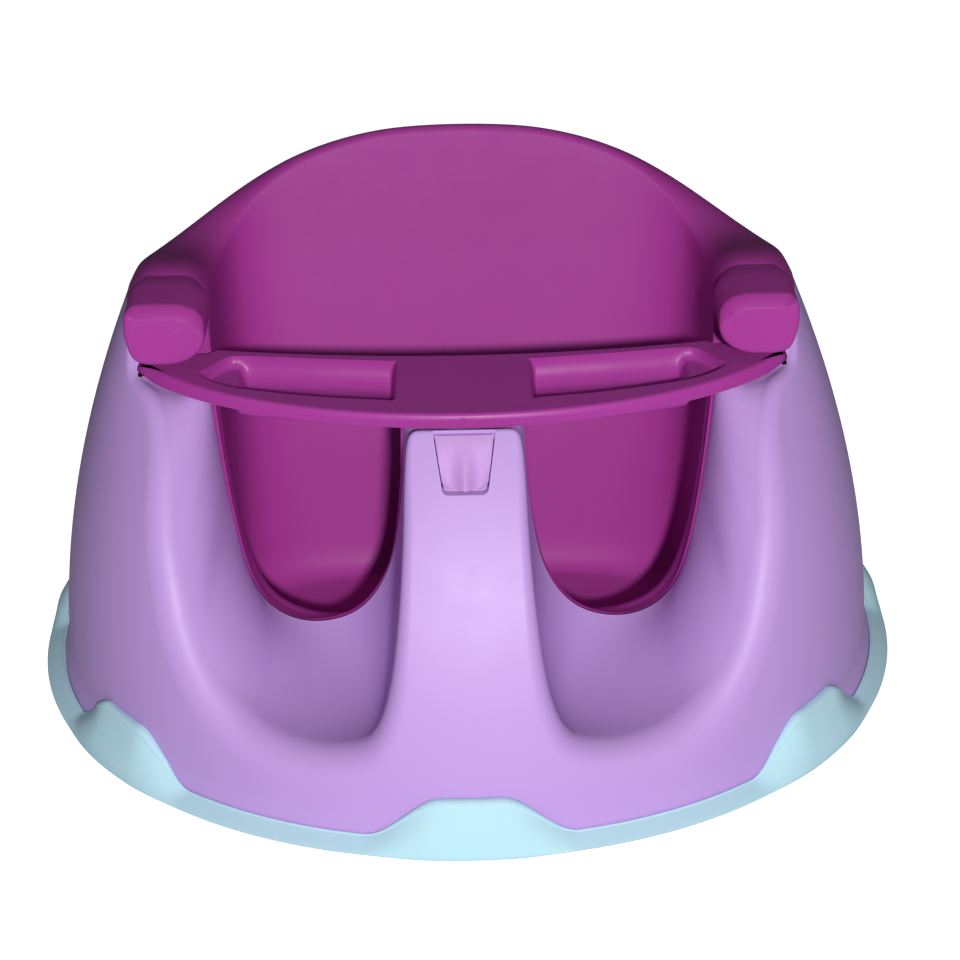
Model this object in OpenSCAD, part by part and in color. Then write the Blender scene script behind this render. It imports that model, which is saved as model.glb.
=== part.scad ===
// Moulded baby floor seat with a slide-off tray.
// Millimetres. Z is up, the legs go out towards -Y, and the seat rests on Z = 0.

/* [Domed outer shell] */
// half of the shell's width at the floor
base_half_width = 190; // [150:1:240]
// half of the shell's depth at the floor
base_half_depth = 176.5; // [140:1:220]
// height over which the leans below are measured
dome_height = 215; // [160:1:260]
// how far each side comes in over that height
side_lean = 57.6; // [20:1:90]
// how far the front comes in over that height
front_lean = 122; // [60:1:130]
// how far the back comes in over that height
back_lean = 81.5; // [40:1:120]
// curve of the flanks, 1 is straight
lean_power = 1.95; // [1:0.05:2.5]
// roundness of the outline at the floor, 2 is an ellipse
square_low = 2.05; // [2:0.05:3]
// extra squareness reached under the tray
square_gain = 0.3; // [0:0.05:1]
// squareness that the front loses again up to the tray
square_drop = 0.31; // [0:0.01:1]
// wall of the outer shell
shell_wall = 3; // [2:0.1:5]
// height of the shell's lower edge above the floor
shell_foot = 4; // [2:0.1:8]

/* [Seat liner] */
// wall of the seat liner
liner_wall = 3; // [2:0.1:5]
// height of the sitting surface above the floor
pan_height = 15; // [12:0.5:40]
// front of the sitting surface
pan_front = -46; // [-60:1:-30]
// foot of the backrest
pan_back = 29; // [15:1:60]
// gap between liner and shell at the leg openings
seam_gap = 0.8; // [0.3:0.1:2]
// gap between the liner's rim and the shell's top edge
rim_step = 6.5; // [5:0.5:12]

/* [Arm noses] */
// middle of each nose, out from the centre line
nose_x = 125.6; // [110:1:140]
// middle of each nose above the floor
nose_z = 178.4; // [165:0.5:190]
// front face of the noses
nose_front = -60; // [-60:1:-30]
// half of the width of a nose
nose_half_width = 17.8; // [10:0.2:22]
// half of the height of a nose
nose_half_height = 14.2; // [8:0.2:20]
// roundness of a nose seen from the front, 2 is an ellipse
nose_round = 2.6; // [2:0.1:4]
// bevel round the front of a nose
nose_bevel = 4; // [1:0.5:8]
// depth of a nose, back into the arm
nose_length = 44; // [20:1:60]

/* [Tray] */
// top face of the tray
tray_top_z = 164; // [150:0.5:190]
// depth of the tray's edge
tray_edge = 6.4; // [5.6:0.2:16]
// half of the tray's width
tray_half_width = 139; // [120:1:150]
// how far the tray's front edge stands out from the shell's line
tray_overhang = 0; // [-3:0.5:6]
// rear edge of the tray in the middle
tray_rear = -46; // [-60:1:-20]
// how much further back the ends of the rear edge are
tray_rear_sweep = 11.5; // [0:0.5:20]
// thickness of the tray's mouldings
tray_wall = 2.4; // [1.6:0.1:4]
// inner end of a well, out from the centre line
well_inner = 31; // [26:1:50]
// place of the step between the deep and the shallow part of a well
well_step = 92; // [70:1:105]
// outer point of a well
well_outer = 114; // [100:1:124]
// depth of the wells
well_depth = 15; // [8:0.5:20]
// depth of the shallow outer part
well_shallow = 5.5; // [4:0.5:12]
// width of the tray's rim in front of a well's inner end
well_rim = 23; // [18:0.5:34]
// forward travel that takes the tray off
tray_travel = 90; // [60:1:120]

/* [Soft foot ring] */
// how far the ring stands out from the shell at the floor
ring_stand = 10; // [3:0.5:16]
// height of the plain band of the ring
ring_band = 11; // [8:0.5:20]
// height of the raised lobes
lobe_height = 24; // [16:1:40]
// number of raised lobes, one of them in the middle of the front
lobe_count = 7; // [4:1:12]
// half of the flat top of a lobe, in degrees
lobe_flat = 6.6; // [2:0.2:12]
// half of the foot of a lobe, in degrees
lobe_foot = 13.6; // [8:0.2:20]

/* [Latch] */
// height of the pivot of the release tab
pivot_z = 136; // [110:1:140]
// how far the pivot lies behind the front of the post
pivot_setback = 9; // [7:0.5:14]
// room from the front of the post to the liner, at the pivot
post_depth = 52.5; // [40:1:70]
// diameter of the pivot pin
pin_diameter = 3; // [2:0.1:5]
// radial running clearance of the pin in the tab
pin_clearance = 0.1; // [0.02:0.01:0.2]
// width of the release tab at its foot
tab_foot_width = 19.4; // [10:0.2:26]
// width of the release tab at its top
tab_top_width = 25; // [18:0.5:40]
// clearance round the release tab
tab_clearance = 0.6; // [0.4:0.1:2]
// press angle of the release tab, in degrees
tab_press = 9; // [4:0.5:14]
// width of the bracket that carries the pivot and the spring
bracket_width = 28; // [20:1:34]
// width of the spring leaf
spring_width = 14; // [8:1:16]
// height of the spring's crest above the top of the post
crest_rise = 2.7; // [1.5:0.1:4]
// width of the plate under the tray that the crest catches
strike_width = 45.2; // [30:0.2:54]
// thickness of that plate
strike_wall = 2.4; // [1.6:0.1:4]

/* [Fasteners] */
// diameter of the screw shanks
screw_diameter = 3.5; // [2.5:0.1:5]
// diameter of the screw heads
screw_head = 7; // [5:0.1:9]
// height of the screw heads
screw_head_height = 2.4; // [1.5:0.1:4]
// length of the screws that hold the base plate
base_screw_length = 7.5; // [5:0.5:12]
// diameter of the small screws
small_screw = 2.6; // [2:0.1:4]
// gap round a screw in the hole that it holds in
screw_fit = 0.06; // [0.02:0.02:0.2]

/* [Hidden] */
$fn = 32;
half_columns = 44;
// where the tray's underside, the frame tops and the post top meet
slot_z = tray_top_z - tray_edge - 0.7;
// the centre of the sitting surface
pan_middle = [0, (pan_front + pan_back) / 2, pan_height - 1.5];

// ---------- shape laws ----------
// half size at height z: starts at size and leans in by lean over dome_height
function leaned(z, size, lean) = size - lean * pow(max(z, 0) / dome_height, lean_power);

function ease(t) = let (u = min(max(t, 0), 1)) u * u * (3 - 2 * u);

// exponent of the outline at height z: it grows with the height, and the front loses it again
function squareness(z, front) =
    square_low + square_gain * min(max(z / 170, 0), 1) - square_drop * front * ease((z - 100) / 64);

// point of the dome at compass angle a (0 is the front), height z, pushed out by off
function dome(a, z, off = 0) =
    let (n = squareness(z, ease(2 * cos(a))),
         w = leaned(z, base_half_width, side_lean) + off,
         d = leaned(z, base_half_depth, cos(a) > 0 ? front_lean : back_lean) + off,
         r = pow(pow(abs(sin(a)) / w, n) + pow(abs(cos(a)) / d, n), -1 / n))
    [r * sin(a), -r * cos(a), z];

// half depth of the front of the dome at height z, x out from the middle
function front_at(x, z) =
    let (n = squareness(z, 1))
    -leaned(z, base_half_depth, front_lean)
    * pow(1 - pow(min(abs(x) / leaned(z, base_half_width, side_lean), 1), n), 1 / n);

// front of the liner behind the post, and the latch pieces in front of it
pivot_y = front_at(0, pivot_z) + pivot_setback;
liner_y = front_at(0, pivot_z) + post_depth;

// The half edge, from the middle of the post round to the middle of the back.
// angle, height and foot angle of the shell's edge, radius of its rounding,
// outer start of the liner x y z, inner top of the liner x y z, crown height,
// foot of the liner's wall x y, and 1 where the edge is a leg opening
edge_keys = [
    [0, slot_z - 3.7, 0, 3.5, 0, liner_y - 8, slot_z, 0, liner_y, slot_z, 0, 0, pan_front, 1],
    [3.8, slot_z - 3.7, 1.2, 3.5, 11, liner_y - 8, slot_z, 10, liner_y, slot_z, 0, 3, pan_front, 1],
    [6.7, slot_z - 4.3, 2.2, 5, 24.5, liner_y - 8, slot_z, 21.5, liner_y, slot_z, 0, 6,
     pan_front, 1],
    [7.2, slot_z - 9, 3, 8.4, 27.5, liner_y - 8, slot_z - 3.2, 24.5, liner_y + 0.5, slot_z - 3.2, 0,
     9, pan_front, 1],
    [6.8, 132, 4, 10.3, 28.3, liner_y - 7.5, 138, 25.3, liner_y + 2, 139, 0, 12, pan_front, 1],
    [6.5, 116, 5, 11, 29.2, liner_y - 6.5, 122, 26.2, liner_y + 3, 122, 0, 14.5, pan_front, 1],
    [6.6, 95, 6, 12, 31, liner_y - 6, 104, 28, liner_y + 4, 104, 0, 16, pan_front, 1],
    [7.2, 68, 8, 12, 34, liner_y - 3, 78, 31, liner_y + 6, 77, 0, 21, pan_front, 1],
    [9, 46, 10.5, 12, 43, liner_y + 1, 57, 40, liner_y + 9, 55, 0, 28, pan_front + 0.2, 1],
    [13, 31, 14, 13, 56, liner_y + 4, 47.5, 54, liner_y + 11, 45, 0, 38, pan_front + 0.5, 1],
    [20.5, 25, 20, 13, 72, liner_y + 4, 46, 71, liner_y + 12, 43.5, 0, 52, pan_front + 1, 1],
    [29, 25, 28, 14, 86, liner_y + 4, 53, 85, liner_y + 12, 51, 0, 66, pan_front + 2.5, 1],
    [37.5, 33, 36, 15, 95, liner_y + 4, 68, 95, liner_y + 13, 66, 0, 80, pan_front + 5, 1],
    [46, 60, 45, 15, 100, liner_y + 4, 92, 99.5, liner_y + 13, 91, 0, 90, pan_front + 10, 1],
    [50.5, 85, 50, 15, 103, liner_y + 4, 115, 102, liner_y + 13, 115, 0, 96, -31, 1],
    [54.4, 105, 55, 15, 105.5, liner_y + 4, 134, 104.5, liner_y + 13, 134, 0, 99.5, -27, 1],
    [60.8, 137, 61.6, 12.5, 107, liner_y + 7, slot_z - 6.7, 106, liner_y + 15, slot_z - 6.7, 0, 101.5,
     -23, 1],
    [66, 150, 67, 7, 110, -52, slot_z, 108, -45, slot_z, 0, 103, -18, 1],
    [70, 152, 71, 4.6, 124, -35, slot_z, 110, -29, slot_z, 0, 103.5, -15, 1],
    [73, 152.5, 74, 4.8, 139, -33, slot_z + 1.2, 110.5, -27.5, slot_z + 2.2, 1, 103.7, -13, 0.7],
    [76, 159, 77, 5, 143, -32, 166, 111, -27, 168, 13, 103.8, -11, 0.2],
    [80, 165.5, 81, 5, 146, -25, 172, 111, -22, 172, 19.5, 104, -8, 0],
    [87, 166, 87, 5, 149, -8, 172, 112, -7, 172, 19, 104, -3, 0],
    [96, 164, 96, 5, 150, 16, 171, 112, 13, 172.5, 14, 103, 4, 0],
    [105, 162, 105, 5, 147, 39, 168, 111, 33, 173, 9, 101, 9, 0],
    [113, 163, 113, 5, 141, 60, 169, 109, 48, 174, 7, 97, 14, 0],
    [121, 171, 121, 5, 126, 75, 177, 105, 61, 180, 5.5, 90, 19, 0],
    [129, 185, 129, 5, 104, 84, 191, 94, 71, 193, 4.5, 80, 23, 0],
    [137, 196, 137, 5, 85, 88, 202, 78, 77, 204, 4, 67, 26, 0],
    [146, 203.5, 146, 5, 62, 91, 209, 58, 80.5, 211, 4, 50, 28, 0],
    [157, 208, 157, 5, 39, 93, 214, 36, 82.5, 216, 4, 30, 29, 0],
    [168, 209.3, 168, 5, 20, 94, 215, 18, 83.5, 217, 4, 15, 29, 0],
    [180, 209.5, 180, 5, 0, 95, 216, 0, 84, 217.5, 4, 0, 29, 0]];

// smooth curve through a list of keys, t from 0 at the first to 1 at the last
function smooth_at(keys, t) =
    let (m = len(keys), s = t * (m - 1), i = min(floor(s), m - 2), f = s - i,
         before = i == 0 ? 2 * keys[0] - keys[1] : keys[i - 1],
         after = i == m - 2 ? 2 * keys[m - 1] - keys[m - 2] : keys[i + 2])
    (pow(1 - f, 3) * before + (3 * pow(f, 3) - 6 * f * f + 4) * keys[i]
     + (-3 * pow(f, 3) + 3 * f * f + 3 * f + 1) * keys[i + 1] + pow(f, 3) * after) / 6;

function unit(v) = v / norm(v);
function part3(v, i) = [v[i], v[i + 1], v[i + 2]];
function flip(p) = [-p[0], p[1], p[2]];
function bend(p, c, q, s) = (1 - s) * (1 - s) * p + 2 * s * (1 - s) * c + s * s * q;

edge = [for (i = [0:half_columns]) smooth_at(edge_keys, i / half_columns)];
edge_points = [for (k = edge) dome(k[0], k[1])];
function along(i) =
    i == 0 ? [1, 0, 0] : i == half_columns ? [-1, 0, 0]
    : unit(edge_points[i + 1] - edge_points[i - 1]);
function outward(k) =
    unit(cross(dome(k[0] + 0.5, k[1]) - dome(k[0] - 0.5, k[1]),
               dome(k[0], k[1] + 1) - dome(k[0], k[1] - 1)));

// where the liner starts on column i, and where the shell ends there
function liner_start(k) = k[13] * part3(k, 4) + (1 - k[13]) * dome(k[0], k[1] + rim_step, 0.4);
function liner_top(k) = part3(k, 7);
function shell_end(k, corner, n) =
    let (s = liner_start(k), lip = unit(s - liner_top(k)), way = unit(corner - s),
         // where the shell comes to the lip from the side it stops short of the liner's wall
         aside = way - (way * lip) * lip)
    k[13] * (s + seam_gap * (lip + 3.4 * aside)) + (1 - k[13]) * (corner - 5 * n);

// outer skin of the shell on column i: up the dome, round the edge, in to the liner
function shell_column(i) =
    let (k = edge[i], n = outward(k), c = cross(n, along(i)), e = edge_points[i], r = k[3],
         corner = e + r * c - r * n, last = shell_end(k, corner, n),
         reach = norm(last - corner) / 2)
    concat([for (j = [0:7]) let (t = j / 7)
                dome(k[2] + (k[0] - k[2]) * t, shell_foot + (k[1] - shell_foot) * t)],
           [for (a = [30, 60, 90]) e + r * sin(a) * c - r * (1 - cos(a)) * n],
           [for (s = [0.35, 0.7, 1]) bend(corner, corner - reach * n, last, s)]);

// the rim of the liner: from s to t with a crown of height h between them
crown_angles = [0, 30, 65, 115, 150, 180];
function crown(s, t, h, a) = s + (t - s) * (1 - cos(a)) / 2 + [0, 0, h * pow(sin(a), 0.75)];

// the seat side of the liner on column i: over the rim, down the wall, in to the middle
function liner_column(i) =
    let (k = edge[i], s = liner_start(k), t = liner_top(k), q = [k[11], k[12], pan_height],
         c = q + [0, 0, 26] + 0.12 * [t[0] - q[0], t[1] - q[1], 0])
    concat([for (a = crown_angles) crown(s, t, k[10], a)],
           [for (f = [0.2, 0.4, 0.6, 0.75, 0.9, 1]) bend(t, c, q, f)],
           [q + (pan_middle - q) * 0.5 + [0, 0, -0.4]]);

// a half list of columns made whole by mirroring it in the middle plane
function both_sides(half) =
    concat(half, [for (i = [len(half) - 2:-1:1]) [for (p = half[i]) flip(p)]]);

// the same grid moved in by the wall, along its own normals; the wall is given row by row
function inner_skin(grid, walls) =
    let (m = len(grid), rows = len(grid[0]))
    [for (i = [0:m - 1]) [for (j = [0:rows - 1])
        let (a = grid[(i + 1) % m][j] - grid[(i + m - 1) % m][j],
             b = grid[i][min(j + 1, rows - 1)] - grid[i][max(j - 1, 0)])
        grid[i][j] - walls[j] * unit(cross(a, b))]];

function backwards(v) = [for (i = [len(v) - 1:-1:0]) v[i]];

// closed loop of closed sections
module loop_solid(sections) {
    m = len(sections);
    rows = len(sections[0]);
    polyhedron([for (s = sections) for (p = s) p],
        [for (i = [0:m - 1]) for (j = [0:rows - 1]) for (h = [0, 1])
            let (a = i * rows, b = ((i + 1) % m) * rows, k = (j + 1) % rows)
            h == 0 ? [a + j, b + k, b + j] : [a + j, a + k, b + k]], convexity = 8);
}

// bowl closed by two middle points, each column going from the seat side to the hidden side
module bowl_solid(columns, top_middle, low_middle) {
    m = len(columns);
    rows = len(columns[0]);
    last = m * rows;
    polyhedron(concat([for (s = columns) for (p = s) p], [top_middle, low_middle]),
        concat([for (i = [0:m - 1]) for (j = [0:rows - 2]) for (h = [0, 1])
            let (a = i * rows, b = ((i + 1) % m) * rows)
            h == 0 ? [a + j, b + j, b + j + 1] : [a + j, b + j + 1, a + j + 1]],
            [for (i = [0:m - 1]) [last, ((i + 1) % m) * rows, i * rows]],
            [for (i = [0:m - 1]) [last + 1, i * rows + rows - 1,
                                  ((i + 1) % m) * rows + rows - 1]]), convexity = 8);
}

// a round bar along Y
module bar_y(d, x, y0, y1, z) {
    translate([x, y0, z]) rotate([-90, 0, 0]) cylinder(d = d, h = y1 - y0);
}

// a round bar along X, from -half to half
module bar_x(d, half, y, z) {
    translate([-half, y, z]) rotate([0, 90, 0]) cylinder(d = d, h = 2 * half);
}

// a screw along +Z, its head below z
module screw(x, y, z, length) {
    translate([x, y, z - screw_head_height]) cylinder(d = screw_head, h = screw_head_height);
    translate([x, y, z - 0.01]) cylinder(d = screw_diameter, h = length);
}

// places of the screws that hold the base plate to the shell and to the liner
plate_top = 4.8;
plate_low = 0.8;
boss_foot = plate_top + 0.3;
boss_diameter = 9;
shell_boss_angles = [26, 78, 129, 180, 231, 282, 334];
shell_boss_z = 24;
shell_boss_spots = [for (a = shell_boss_angles) dome(a, shell_boss_z, -6.1)];
liner_boss_spots = [[-62, -8], [62, -8], [-62, 16], [62, 16]];
function screw_seat() = plate_low + 0.1 + screw_head_height;

// the hole that a base screw holds in, up from the floor
module base_screw_hole(p) {
    translate([p[0], p[1], 0])
        cylinder(d = screw_diameter + 2 * screw_fit, h = screw_seat() + base_screw_length + 1);
}

// ---------- outer shell ----------
module outer_shell() {
    outside = both_sides([for (i = [0:half_columns]) shell_column(i)]);
    inside = inner_skin(outside, [for (j = [0:13]) shell_wall * (j == 13 ? 0.5 : j == 12 ? 0.85 : 1)]);
    color([0.78, 0.62, 0.87]) resize([0, 0, 0]) difference() {
        union() {
            loop_solid([for (i = [0:len(outside) - 1]) concat(outside[i], backwards(inside[i]))]);
            for (p = shell_boss_spots) translate([p[0], p[1], boss_foot])
                cylinder(d = boss_diameter, h = shell_boss_z - boss_foot, $fn = 16);
        }
        for (p = shell_boss_spots) base_screw_hole(p, $fn = 16);
        tab_window();
        translate([-spring_width / 2 - 2, crest_y - 10, slot_z - 12])
            cube([spring_width + 4, 20, 20]);
    }
}

// trapezoid opening for the release tab in the front of the post
tab_low_z = pivot_z + 1.7;
tab_high_z = slot_z;
crest_y = pivot_y + 20.5;
crest_top = slot_z + crest_rise;
module tab_window() {
    hull() for (v = [[tab_foot_width / 2, tab_low_z], [tab_top_width / 2, tab_high_z]])
        translate([-v[0], pivot_y - 32, v[1]]) cube([2 * v[0], 50, 0.5]);
}

// ---------- seat liner ----------
// outline of a nose seen from the front, drawn in by inset
function nose_outline(inset) =
    [for (a = [0:9:359])
        [(nose_half_width - inset) * sign(sin(a)) * pow(abs(sin(a)), 2 / nose_round),
         (nose_half_height - inset) * sign(cos(a)) * pow(abs(cos(a)), 2 / nose_round)]];

module nose(side) {
    hull() for (v = [[0, nose_bevel], [nose_bevel * 0.3, nose_bevel * 0.3], [nose_bevel, 0],
                     [nose_length, 0]])
        translate([side * nose_x, nose_front + v[0] + 0.2, nose_z]) rotate([90, 0, 0])
            linear_extrude(0.2) polygon(nose_outline(v[1]));
}

module seat_liner() {
    top = both_sides([for (i = [0:half_columns]) liner_column(i)]);
    skin = inner_skin(top, [for (j = [0:12]) liner_wall * (j == 0 ? 0.3 : 1)]);
    low = [for (i = [0:len(top) - 1]) let (k = edge[min(i, 2 * half_columns - i)])
        [for (j = [0:12]) j > 0 && j < 5
            ? crown(skin[i][0], skin[i][5], max(k[10] - liner_wall, 0), crown_angles[j])
            : skin[i][j]]];
    color([0.63, 0.27, 0.56]) resize([0, 0, 0]) difference() {
        union() {
            bowl_solid([for (i = [0:len(top) - 1]) concat(backwards(top[i]), low[i])],
                       pan_middle, pan_middle - [0, 0, liner_wall]);
            for (side = [-1, 1]) nose(side);
            for (p = liner_boss_spots) translate([p[0], p[1], boss_foot])
                cylinder(d = boss_diameter, h = pan_height - boss_foot - 2, $fn = 16);
            for (x = [-bracket_screw_x, bracket_screw_x])
                bar_y(7, x, bracket_back + 0.2, boss_end, bracket_screw_z, $fn = 16);
        }
        for (p = liner_boss_spots) translate([p[0], p[1], 0])
            cylinder(d = screw_diameter + 2 * screw_fit, h = pan_height - liner_wall - 0.8, $fn = 16);
        for (x = [-bracket_screw_x, bracket_screw_x])
            bar_y(small_screw + 2 * screw_fit, x, bracket_back - 1, boss_end - 1.2,
                  bracket_screw_z, $fn = 16);
    }
}

// ---------- soft foot ring ----------
// height of the ring at compass angle a: plain band, raised to a lobe at regular angles
function ring_height(a) =
    let (pitch = 360 / lobe_count, d = abs(a - pitch * round(a / pitch)),
         t = min(max((lobe_foot - d) / (lobe_foot - lobe_flat), 0), 1))
    ring_band + (lobe_height - ring_band) * t * t * (3 - 2 * t);

// how far the ring stands out at the share s of its height h; lobes lean back to the shell
function ring_off(h, s) =
    ring_stand - (ring_stand - 4) * pow(s, 1.6) * (h - ring_band) / (lobe_height - ring_band);

module foot_ring() {
    steps = 16 * lobe_count;
    color([0.78, 0.90, 0.97])
        loop_solid([for (i = [0:steps - 1]) let (a = 360 * i / steps, h = ring_height(a))
            [dome(a, 0, -2.4), dome(a, 0, ring_stand - 1.2), dome(a, 1.2, ring_stand),
             dome(a, h * 0.45, ring_off(h, 0.45)), dome(a, h * 0.8, ring_off(h, 0.8)),
             dome(a, h - 0.5, ring_off(h, 0.95) - 1), dome(a, h, ring_off(h, 1) - 2.2),
             dome(a, h, 0.3), dome(a, shell_foot - 0.3, 0.3), dome(a, shell_foot - 0.3, -2.4)]]);
}

// ---------- base plate and its screws ----------
module base_plate() {
    rim = [for (i = [0:95]) let (p = dome(i * 3.75, 0, -4)) [p[0], p[1]]];
    color([0.60, 0.50, 0.68]) difference() {
        translate([0, 0, plate_low]) linear_extrude(plate_top - plate_low) polygon(rim);
        for (p = concat(shell_boss_spots, liner_boss_spots)) {
            translate([p[0], p[1], -1]) cylinder(d = screw_diameter + 0.4, h = 8);
            translate([p[0], p[1], -1]) cylinder(d = screw_head + 0.6, h = screw_seat() + 1);
        }
        // drain and moulding relief slots
        for (x = [-30, 0, 30]) translate([x - 3, -28, -1]) cube([6, 40, 8]);
    }
}

module base_screws() {
    color([0.72, 0.72, 0.74]) for (p = concat(shell_boss_spots, liner_boss_spots))
        screw(p[0], p[1], screw_seat(), base_screw_length);
}

// ---------- latch inside the post ----------
bracket_back = liner_y - 5;
boss_end = liner_y + 0.247 * (pan_front - liner_y) - 1.9;
bracket_screw_x = bracket_width / 2 - 3.5;
bracket_screw_z = pivot_z - 12;
bracket_floor = pivot_z - 17;
bracket_wall = 2.5;
cheek_in = tab_foot_width / 2 + 1.1;
cheek_out = cheek_in + 2.4;
cheek_depth = 6;
pin_half = cheek_out + 0.5;
spring_seat_z = slot_z - 18.7;
spring_block = 7;

module latch_bracket() {
    color([0.90, 0.90, 0.88]) difference() {
        union() {
            translate([-cheek_out, pivot_y - 3, bracket_floor])
                cube([2 * cheek_out, bracket_back - pivot_y + 2, bracket_wall]);
            translate([-bracket_width / 2, bracket_back - bracket_wall, bracket_floor])
                cube([bracket_width, bracket_wall, 10]);
            translate([-spring_width / 2, bracket_back - spring_block - 1, bracket_floor])
                cube([spring_width, spring_block, spring_seat_z - bracket_floor]);
            for (side = [-1, 1])
                translate([side > 0 ? cheek_in : -cheek_out, pivot_y - cheek_depth / 2,
                           bracket_floor])
                    cube([cheek_out - cheek_in, cheek_depth, pivot_z + 2.2 - bracket_floor]);
        }
        bar_x(pin_diameter + 0.04, 20, pivot_y, pivot_z);
        for (x = [-bracket_screw_x, bracket_screw_x])
            bar_y(small_screw + 0.3, x, bracket_back - 10, bracket_back + 2, bracket_screw_z);
    }
}

module bracket_screws() {
    color([0.72, 0.72, 0.74]) for (x = [-bracket_screw_x, bracket_screw_x]) {
        bar_y(2 * small_screw - 0.6, x, bracket_back - bracket_wall - 2.2,
              bracket_back - bracket_wall - 0.1, bracket_screw_z);
        bar_y(small_screw, x, bracket_back - bracket_wall - 0.11, boss_end - 1.6, bracket_screw_z);
    }
}

module tab_pivot_pin() {
    color([0.75, 0.75, 0.77]) bar_x(pin_diameter, pin_half, pivot_y, pivot_z);
}

module release_tab() {
    foot = tab_foot_width / 2 - tab_clearance;
    head = tab_top_width / 2 - tab_clearance;
    low = tab_low_z + tab_clearance;
    high = slot_z - 1.6;
    top_y = front_at(0, high);
    color([0.80, 0.66, 0.88]) difference() {
        union() {
            // face plate, nearly level with the post at the top and sunk at the foot
            hull() {
                translate([-foot, front_at(0, low) + 4.2, low]) cube([2 * foot, 2.5, 0.5]);
                translate([-head, top_y + 1.2, high - 0.5]) cube([2 * head, 2.5, 0.5]);
            }
            // raised ridge up the middle
            hull() {
                translate([-2.2, front_at(0, low) + 2.8, low + 1.5]) cube([4.4, 3, 0.5]);
                translate([-3.4, top_y + 0.9, high - 1]) cube([6.8, 3, 0.5]);
            }
            // hub on the pivot pin
            bar_x(pin_diameter + 3.4, cheek_in - 0.4, pivot_y, pivot_z);
            translate([-foot, front_at(0, low) + 5.2, pivot_z])
                cube([2 * foot, pivot_y - front_at(0, low) - 5.2, low + 1 - pivot_z]);
            // arm that presses the spring down
            translate([-5, top_y + 2.5, high - 2.4])
                cube([10, crest_y - 6.15 - top_y - 2.5, 2.2]);
        }
        bar_x(pin_diameter + 2 * pin_clearance, 20, pivot_y, pivot_z);
    }
}

// bent leaf with a crest that stands up through the post top into the tray
// Its line is given from the crest, y then z, and gets its thickness along its normals.
spring_wall = 0.9;
spring_foot = [bracket_back - 2 - crest_y, spring_seat_z + spring_wall / 2 - crest_top];
spring_line = [spring_foot, [spring_foot[0] - 5.6, spring_foot[1]], [6.6, -9.1], [4.2, -7.5],
               [2.5, -1.6], [0.8, -0.5], [-0.8, -0.5], [-2.5, -1.6], [-6.3, -8.8], [-10.2, -11.6],
               [-11.6, -11.6]];
function normal_at(line, i) =
    let (d = line[min(i + 1, len(line) - 1)] - line[max(i - 1, 0)])
    [-d[1], d[0]] / norm(d);

module latch_spring() {
    n = len(spring_line) - 1;
    leaf = concat([for (i = [0:n]) spring_line[i] + spring_wall / 2 * normal_at(spring_line, i)],
                  [for (i = [n:-1:0]) spring_line[i] - spring_wall / 2 * normal_at(spring_line, i)]);
    color([0.85, 0.85, 0.87]) translate([-spring_width / 2, crest_y, crest_top])
        rotate([90, 0, 90]) linear_extrude(spring_width) polygon(leaf);
}

module spring_rivet() {
    color([0.75, 0.75, 0.77])
        translate([0, bracket_back - 4.6, spring_seat_z + spring_wall])
            cylinder(d = 3.6, h = 0.9);
}

// ---------- tray ----------
// rear corner of the tray, drawn forward where it lies in front of the arm: x, y, share of inset
arm_inner = nose_x - nose_half_width - 2;
arm_front = -39.5;
tray_corner = [[tray_half_width, arm_front - 6, 0], [tray_half_width - 3.6, arm_front - 1.8, 0.6],
               [tray_half_width - 12, arm_front, 1], [arm_inner + 4, arm_front, 1]];

// rear edge of the tray at x
function tray_rear_at(x) = tray_rear + tray_rear_sweep * pow(x / 112, 2);
// front edge of the tray at x
function tray_front_at(x) = front_at(x, tray_top_z) - tray_overhang;

// the tray's outline from above, drawn in by inset
function tray_outline(inset) =
    let (e = tray_half_width - inset, n = 36)
    concat([for (i = [0:n]) let (x = e * sin(-90 + 180 * i / n)) [x, tray_front_at(x) + inset]],
           [for (c = tray_corner) [c[0] - inset, c[1] - inset * c[2]]],
           [for (i = [0:16]) let (x = (arm_inner - inset) * (1 - i / 8)) [x, tray_rear_at(x) - inset]],
           [for (i = [len(tray_corner) - 1:-1:0]) let (c = tray_corner[i])
               [inset - c[0], c[1] - inset * c[2]]]);

module slab(outline, low, high) {
    translate([0, 0, low]) linear_extrude(high - low) polygon(outline);
}

// wells seen from above, grown by the wall where they hang below the tray
well_y = tray_front_at(0) + well_rim;
function deep_well(g) =
    [[well_inner - g, tray_rear - 3.8 + g], [well_inner - g, well_y + 0.9 - g],
     [(well_inner + well_step) / 2, well_y + 4.8 - g], [well_step + g, well_y + 9.6 - g],
     [well_step + g, tray_rear + 3.2 + g]];
// from the tip of a well along its front and back, x then y from the tip
well_tip = [well_outer, well_y + 24];
well_end_line = [[-25, -14.5], [-15, -13.6], [-9, -11.3], [-4.6, -7.5], [-1.6, -3.6], [0, 0],
                 [-2, 4.8], [-5.5, 9.4], [-10, 13.2], [-15, 15], [-25, 14.5]];
function end_well(g) =
    [for (i = [0:len(well_end_line) - 1])
        let (p = well_end_line[i], a = 180 * i / (len(well_end_line) - 1))
        well_tip + p + (i == 0 || p[0] == -25 ? [0, i == 0 ? -g : g] : g * [sin(a), -cos(a)])];

module wells(g, cut) {
    top = tray_top_z + (cut ? 1 : 0);
    for (side = [0, 1]) mirror([side, 0, 0]) {
        slab(deep_well(g), tray_top_z - well_depth - g, top);
        slab(end_well(g), tray_top_z - well_shallow - g, top);
    }
}

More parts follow.
